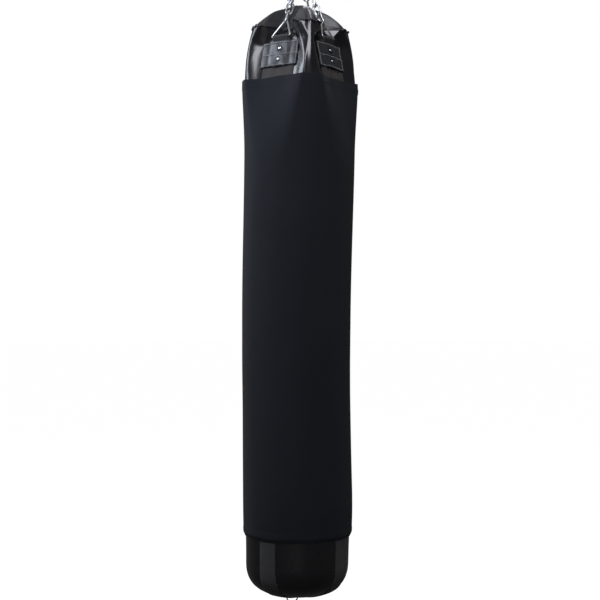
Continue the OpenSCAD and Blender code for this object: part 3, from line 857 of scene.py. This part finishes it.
def make_strap(i):
    path, reach = strap_path()
    x = np.linspace(-STRAP_HALF, STRAP_HALF, 26)[None, :]
    tangent = unit(np.gradient(path, axis=0))
    out_v, out_w = tangent[:, 1:2], -tangent[:, 0:1]
    selvedge = STRAP_T / 2 * (1 - 0.35 * smoothstep(STRAP_HALF - 0.002, STRAP_HALF, np.abs(x)))
    grid = on_side(i, x, path[:, 0:1] + out_v * selvedge, path[:, 1:2] + out_w * selvedge)
    strap = grid_object(f"strap_{i + 1}_loop", grid, (x, reach[:, None]))
    add_modifier(strap, "SOLIDIFY", thickness=STRAP_T, offset=-1)
    finish_piece(strap, WEBBING, "webbing", f"strap_{i + 1}")


def patch_surface(i, x, w):
    """Outer face of a patch: it stands over the strap, sinks to the band beside it, and is
    drawn in along its stitches and round its rivets."""
    away, beside = np.abs(x), PATCH_BESIDE_X
    over = smoothstep(beside, 0.0265, away)
    crown = 0.0007 * np.cos(np.pi * x / 0.055)
    v = PATCH_BESIDE_V + (PATCH_V - PATCH_BESIDE_V) * over + crown * over
    v = v + 0.0009 * np.sin(np.pi * (away - beside) / 0.025) * smoothstep(beside, 0.045, away)
    edge_x, edge_w = PATCH_HALF - np.abs(x), np.minimum(w - PATCH_LOW, PATCH_TOP - w)
    inset = np.minimum(edge_x, edge_w)
    v = v - 0.0006 * np.exp(-(((inset - PATCH_SEW) / 0.0016) ** 2))
    v = v - 0.0006 * np.exp(-(((w - MIDDLE_SEAM) / 0.0016) ** 2))
    for up_w in RIVET_UP:
        v = v - 0.0012 * np.exp(-((np.hypot(x, w - up_w) / 0.010) ** 2))
    v = v + 0.0005 * waves(x * 55 + 30 * w, (1, 2, 3), 50 + i)
    v = v + 0.0004 * waves(w * 80 - 25 * x, (1, 2), 60 + i)
    curl = 0.55 + 0.45 * waves(x * 45, (1, 2, 3), 70 + i)
    return v + 0.0022 * smoothstep(0.008, 0.0, w - PATCH_LOW) * curl


def make_patch(i):
    x = np.linspace(-PATCH_HALF, PATCH_HALF, 110)[None, :]
    w = np.linspace(PATCH_LOW, PATCH_TOP, 72)[:, None]
    ragged = 0.0010 * waves(x * 70, (1, 2, 3, 5), 80 + i) * smoothstep(0.006, 0.0, w - PATCH_LOW)
    grid = on_side(i, x, patch_surface(i, x, w), w + ragged)
    patch = grid_object(f"patch_{i + 1}_leather", grid, (x, w))
    add_modifier(patch, "SOLIDIFY", thickness=0.0023, offset=-1)
    add_modifier(patch, "BEVEL", width=0.0005, segments=2, limit_method="ANGLE", angle_limit=SHARP)
    finish_piece(patch, PATCH, "patch_leather", f"patch_{i + 1}")


def line_on_patch(i, corners, step=0.001):
    """Points along straight runs on a patch's face."""
    points = []
    for (x0, w0), (x1, w1) in zip(corners, corners[1:]):
        count = max(int(math.hypot(x1 - x0, w1 - w0) / step), 2)
        t = np.linspace(0, 1, count)
        x, w = x0 + (x1 - x0) * t, w0 + (w1 - w0) * t
        points.append(on_side(i, x, patch_surface(i, x, w), w))
    return np.vstack(points)


def make_patch_stitches(i):
    x, low, top = PATCH_HALF - PATCH_SEW, PATCH_LOW + PATCH_SEW, PATCH_TOP - PATCH_SEW
    runs = [
        [(-x, low), (x, low), (x, top), (STRAP_HALF, top)],
        [(-STRAP_HALF, top), (-x, top), (-x, low)],
        [(-STRAP_HALF, top), (STRAP_HALF, top)],
        [(-x, MIDDLE_SEAM), (x, MIDDLE_SEAM)],
    ]
    parts = []
    for run in runs:
        points = line_on_patch(i, run)
        parts += stitch_parts(points, np.tile(side_normal(i), (len(points), 1)))
    # Loose thread ends, each as the place it starts from and how far it runs.
    tails = [(-x, low, -0.010, -0.006), (-x + 0.002, low + 0.010, -0.008, 0.004),
             (x, MIDDLE_SEAM, 0.010, -0.010), (x, top - 0.006, 0.005, 0.006)]
    t = np.linspace(0, 1, 12)
    for x0, w0, dx, dw in tails:
        bend_w = w0 + dw * t + 0.003 * np.sin(2.6 * t)
        bend_v = patch_surface(i, np.array(x0), np.array(w0)) + 0.0015 * np.sin(3 * t)
        path = on_side(i, x0 + dx * t, bend_v, bend_w)
        parts.append(tube_part(path, 0.00035 * (1 - 0.5 * t), 6))
    stitch_object(f"patch_{i + 1}_stitches", parts, THREAD, "webbing")


def lathe(profile_points, count=32):
    """(points, faces) of a turned form about +Z from (radius, height) points, closed at both ends."""
    turn = np.linspace(0, 2 * np.pi, count, endpoint=False)
    x, y = np.cos(turn), np.sin(turn)
    rings = [np.stack([r * x, r * y, np.full(count, z)], axis=1) for r, z in profile_points]
    faces = grid_faces(len(rings), count, round_cols=True)
    faces.append(tuple(range(count))[::-1])
    faces.append(tuple((len(rings) - 1) * count + j for j in range(count)))
    return np.vstack(rings), faces


def placed(part, origin, axis):
    """A part moved to an origin, with its +Z along an axis."""
    turn = np.array(Vector((0, 0, 1)).rotation_difference(Vector(axis)).to_matrix())
    return part[0] @ turn.T + np.asarray(origin), part[1]


# Turned forms as (radius, height) points.
RIVET_HEAD = [(0.0020, -0.003), (0.0020, 0.0), (0.0044, 0.0), (0.0046, 0.0004), (0.0045, 0.0008),
              (0.0040, 0.0014), (0.0031, 0.0020), (0.0020, 0.0024), (0.0008, 0.0026)]
DISHED_WASHER = [(0.0021, 0.0), (0.0094, -0.0002), (0.0097, 0.0002), (0.0094, 0.0006), (0.0078, 0.0006),
                 (0.0062, 0.0003), (0.0040, 0.0003), (0.0021, 0.0005)]


def make_rivets():
    heads, washers = [], []
    for i in range(4):
        for w in RIVET_UP:
            v = float(patch_surface(i, np.array(0.0), np.array(w)))
            under_washer, under_head = (on_side(i, 0.0, v + lift, w) for lift in (0.0006, 0.0010))
            washers.append(placed(lathe(DISHED_WASHER, 48), under_washer, side_normal(i)))
            heads.append(placed(lathe(RIVET_HEAD, 40), under_head, side_normal(i)))
    heads = mesh_object("rivet_heads", *join_parts(heads))
    finish_piece(heads, RIVET, "rivet_steel", "rivets")
    washers = mesh_object("dished_washers", *join_parts(washers))
    finish_piece(washers, WASHER, "dark_washer", "rivet_washers")


# ---------------------------------------------------------------- underside

PATCH_R, PATCH_SEAM_R = 0.045, 0.041  # the round patch, and its line of stitches
DRING_H = -0.0072  # the tether ring's bar, along X
TAB_X, TAB_HALF = -0.015, 0.012
TAB_SEWN = (0.0085, 0.0270)  # where each side of the tab is sewn, measured from the bar


def make_lower_straps():
    """Four webbing ends, from under the sleeve down the skin and in to the bottom patch."""
    x = np.linspace(-STRAP_HALF, STRAP_HALF, 28)[None, :]
    r_low, h_low = bottom_curve(PATCH_R + 0.0004, 70)
    h_side = rows_between(BOTTOM_H + 0.006, SLEEVE_LOW + 0.012, 20)
    r, h = np.vstack([r_low, skin_tube(h_side)]), np.vstack([h_low, h_side])
    step_r, step_h = np.gradient(r, axis=0), np.gradient(h, axis=0)
    size = np.hypot(step_r, step_h)
    thick = 0.0021 - 0.0006 * smoothstep(STRAP_HALF - 0.002, STRAP_HALF, np.abs(x))
    r_out, h_out = r + thick * step_h / size, h - thick * step_r / size
    parts, uvs = [], []
    along = np.cumsum(size, axis=0)
    for anchor in ANCHORS:
        azimuth = anchor + np.arcsin(x / r)
        grid = polar(azimuth, r_out + lumps(azimuth, h) * smoothstep(0.02, 0.10, h), h_out)
        parts.append((grid.reshape(-1, 3), grid_faces(*grid.shape[:2])))
        uvs += grid_uvs(x, along)
    straps = mesh_object("lower_strap_ends", *join_parts(parts), uvs)
    add_modifier(straps, "SOLIDIFY", thickness=0.0019, offset=-1)
    finish_piece(straps, WEBBING, "webbing", "lower_straps")


def make_bottom_patch():
    azimuth = around(120)
    r = rows_between(0.04, 1, 30) * (PATCH_R - 0.0002)
    inset = PATCH_R - r
    groove = 0.0005 * np.exp(-(((inset - 0.004) / 0.0015) ** 2))
    roll = 0.0009 * smoothstep(0.0016, 0.0, inset)
    h = bottom_height(r) - 0.0025 + groove + roll
    patch = grid_object("bottom_patch_leather", polar(azimuth, r, h), round_cols=True, caps=(0,))
    add_modifier(patch, "SOLIDIFY", thickness=0.0022, offset=-1)
    finish_piece(patch, PATCH, "patch_leather", "bottom_patch")


def make_bottom_stitches():
    """A ring of stitches round the patch, and a crossed box on each side of the tab."""
    turn = np.linspace(-np.pi, np.pi, 361)
    ring = polar(turn, PATCH_SEAM_R, bottom_height(np.full_like(turn, PATCH_SEAM_R)) - 0.0021)
    down = np.array([[0.0, 0.0, -1.0]])
    parts = stitch_parts(ring, down.repeat(len(turn), axis=0))
    low = BASE + DRING_H + 0.0023
    x0, x1 = TAB_X - TAB_HALF + 0.003, TAB_X + TAB_HALF - 0.003
    t = np.linspace(0, 1, 80)
    for side in (-1, 1):
        y0, y1 = (side * y for y in TAB_SEWN)
        box = [(x0, y0), (x1, y0), (x1, y1), (x0, y1), (x0, y0)]
        for run in (box, [(x0, y0), (x1, y1)], [(x1, y0), (x0, y1)]):
            corners = np.linspace(0, 1, len(run))
            xs, ys = (np.interp(t, corners, places) for places in zip(*run))
            line = np.stack([xs, ys, np.full_like(t, low)], axis=1)
            parts += stitch_parts(line, down.repeat(len(t), axis=0), 0.0004, pitch=0.0030)
    stitch_object("bottom_stitches", parts, THREAD, "webbing")


def make_bottom_tab():
    """Webbing sewn flat on both sides of the ring's bar, which it passes under in a loop."""
    r = 0.0033
    turn = np.linspace(math.radians(200), math.radians(340), 24)
    loop = [(r * math.cos(t), DRING_H + r * math.sin(t)) for t in turn]
    flat = DRING_H + 0.0033
    raw = [(-0.030 + 0.0225 * k / 10, flat) for k in range(11)] + [(-0.0042, DRING_H + 0.0012)] + loop
    raw += [(0.0042, DRING_H + 0.0012)] + [(0.0075 + 0.0225 * k / 10, flat) for k in range(11)]
    path, s = smooth_path(raw, 110, 3, 1.5)
    tangent = unit(np.gradient(path, axis=0))
    x = np.linspace(TAB_HALF, -TAB_HALF, 14)[None, :]
    y = path[:, 0:1] + 0.001 * tangent[:, 1:2]
    h = path[:, 1:2] - 0.001 * tangent[:, 0:1]
    grid = np.stack(np.broadcast_arrays(TAB_X + x, y, BASE + h), axis=-1)
    tab = grid_object("tab_loop", grid, (x, s[:, None]))
    add_modifier(tab, "SOLIDIFY", thickness=0.002, offset=-1)
    finish_piece(tab, WEBBING, "webbing", "bottom_tab")


# ---------------------------------------------------------------- steel

CHAINS = [f"chain_{i}_link_{n}" for i in range(1, 5) for n in range(1, 6)]
STEEL = {
    ZINC: CHAINS + [f"ring_{i}" for i in range(1, 5)],
    FORGED: ["swivel_yoke", "swivel_stem", "swivel_nut", "hook_body", "hook_gate", "gate_pin"],
    BEARING: ["lower_race", "upper_race", "bearing_balls", "gate_spring"],
    DARK_STEEL: ["bottom_ring"],
}


def dress_steel():
    """The CAD's own steel nodes stay, and take a procedural metal."""
    for material, names in STEEL.items():
        for name in names:
            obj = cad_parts[name]
            for slot in obj.material_slots:
                slot.material = material


def node_points(name):
    """Points of a CAD node's mesh."""
    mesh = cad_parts[name].data
    points = np.empty(len(mesh.vertices) * 3, np.float32)
    mesh.vertices.foreach_get("co", points)
    return points.reshape(-1, 3).astype(float)


LINK_WIRE = 0.0055
WELD = [(0.0027, -0.0048), (0.00300, -0.0036), (0.00325, -0.0022), (0.00318, -0.0008), (0.00300, 0.0),
        (0.00318, 0.0008), (0.00325, 0.0022), (0.00300, 0.0036), (0.0027, 0.0048)]


def make_welds():
    """Butt weld on one long side of every chain link."""
    parts = []
    for name in CHAINS:
        points = node_points(name)
        middle = (points.min(axis=0) + points.max(axis=0)) / 2
        _, _, axes = np.linalg.svd(points - middle, full_matrices=False)
        along, across = axes[0], axes[1]
        spread = (points - middle) @ across
        half = spread.max() - LINK_WIRE / 2
        parts.append(placed(lathe(WELD, 28), middle + across * half, along))
    welds = mesh_object("chain_welds", *join_parts(parts))
    finish_piece(welds, ZINC, "zinc_steel")


# ---------------------------------------------------------------- studio

KEY_COLOUR = (0.93, 0.93, 1.0)
WARM_COLOUR = (1.0, 0.98, 0.96)
WINDOW_COLOUR = (0.82, 0.89, 1.0)


def area_light(name, place, aim, size, power, colour, size_y):
    """Rectangular light at a place, turned towards the point aim."""
    data = bpy.data.lights.new(name, "AREA")
    data.energy, data.color = power, colour
    data.shape, data.size, data.size_y = "RECTANGLE", size, size_y
    light = bpy.data.objects.new(name, data)
    bpy.context.scene.collection.objects.link(light)
    way = Vector(aim) - Vector(place)
    light.matrix_world = Matrix.Translation(place) @ way.to_track_quat("-Z", "Y").to_matrix().to_4x4()


def make_lights():
    area_light("key", (-0.25, -2.45, up(3.30)), (0, 0, up(1.66)), 1.2, 60, KEY_COLOUR, 1.5)
    area_light("overhead", (-0.33, 0.31, up(3.27)), (0, 0, up(1.74)), 0.6, 2, KEY_COLOUR, 0.6)
    area_light("window", (-1.45, -0.05, up(2.12)), (0, 0, up(1.62)), 1.4, 20, WINDOW_COLOUR, 0.7)
    area_light("fill", (-0.3, -3.2, up(0.6)), (0, 0, up(0.6)), 1.6, 4, WARM_COLOUR, 1.6)
    area_light("rear", (0.50, 2.20, up(3.20)), (0, 0, up(1.20)), 1.0, 34, KEY_COLOUR, 1.0)


def make_world():
    """Studio surroundings: bright overhead, dim below, and plain white where the camera sees them."""
    world = bpy.data.worlds.new("studio")
    world.use_nodes = True
    tree = world.node_tree
    background = tree.nodes["Background"]
    place = tree.nodes.new("ShaderNodeTexCoord")
    split = tree.nodes.new("ShaderNodeSeparateXYZ")
    ramp = tree.nodes.new("ShaderNodeMapRange")
    ramp.inputs["From Min"].default_value, ramp.inputs["From Max"].default_value = -0.5, 0.9
    ramp.inputs["To Min"].default_value, ramp.inputs["To Max"].default_value = 0.05, 0.16
    seen = tree.nodes.new("ShaderNodeBackground")
    mix = tree.nodes.new("ShaderNodeMixShader")
    path = tree.nodes.new("ShaderNodeLightPath")
    seen.inputs["Color"].default_value = (1, 1, 1, 1)
    tree.links.new(place.outputs["Generated"], split.inputs[0])
    tree.links.new(split.outputs["Z"], ramp.inputs["Value"])
    tree.links.new(ramp.outputs[0], background.inputs["Strength"])
    tree.links.new(path.outputs["Is Camera Ray"], mix.inputs["Fac"])
    tree.links.new(background.outputs[0], mix.inputs[1])
    tree.links.new(seen.outputs[0], mix.inputs[2])
    tree.links.new(mix.outputs[0], tree.nodes["World Output"].inputs["Surface"])
    background.inputs["Color"].default_value = (1, 1, 1, 1)
    bpy.context.scene.world = world


def make_floor():
    """Plain pale floor, well below the hanging bag, and wide enough that no edge of it shows."""
    h, reach = up(-0.42), 400
    points = [(-reach, -reach, h), (reach, -reach, h), (reach, reach, h), (-reach, reach, h)]
    floor = mesh_object("floor", points, [(0, 1, 2, 3)])
    m = Nodes("pale_floor")
    floor.data.materials.append(m.finish(
        Base_Color=(0.25, 0.25, 0.25, 1), Roughness=0.9, Emission_Color=(1, 1, 1, 1), Emission_Strength=0.95
    ))
    floor.visible_glossy = False
    floor.visible_diffuse = False


make_skin()
make_cap()
make_hem()
make_bottom_panel()
make_sleeve()
make_seam_tab()
make_sleeve_stitches()
for i in range(4):
    make_band(i)
    make_strap(i)
    make_patch(i)
    make_patch_stitches(i)
make_rivets()
make_lower_straps()
make_bottom_patch()
make_bottom_stitches()
make_bottom_tab()
dress_steel()
make_welds()
make_lights()
make_world()
make_floor()
bpy.context.scene.view_settings.view_transform = "Standard"
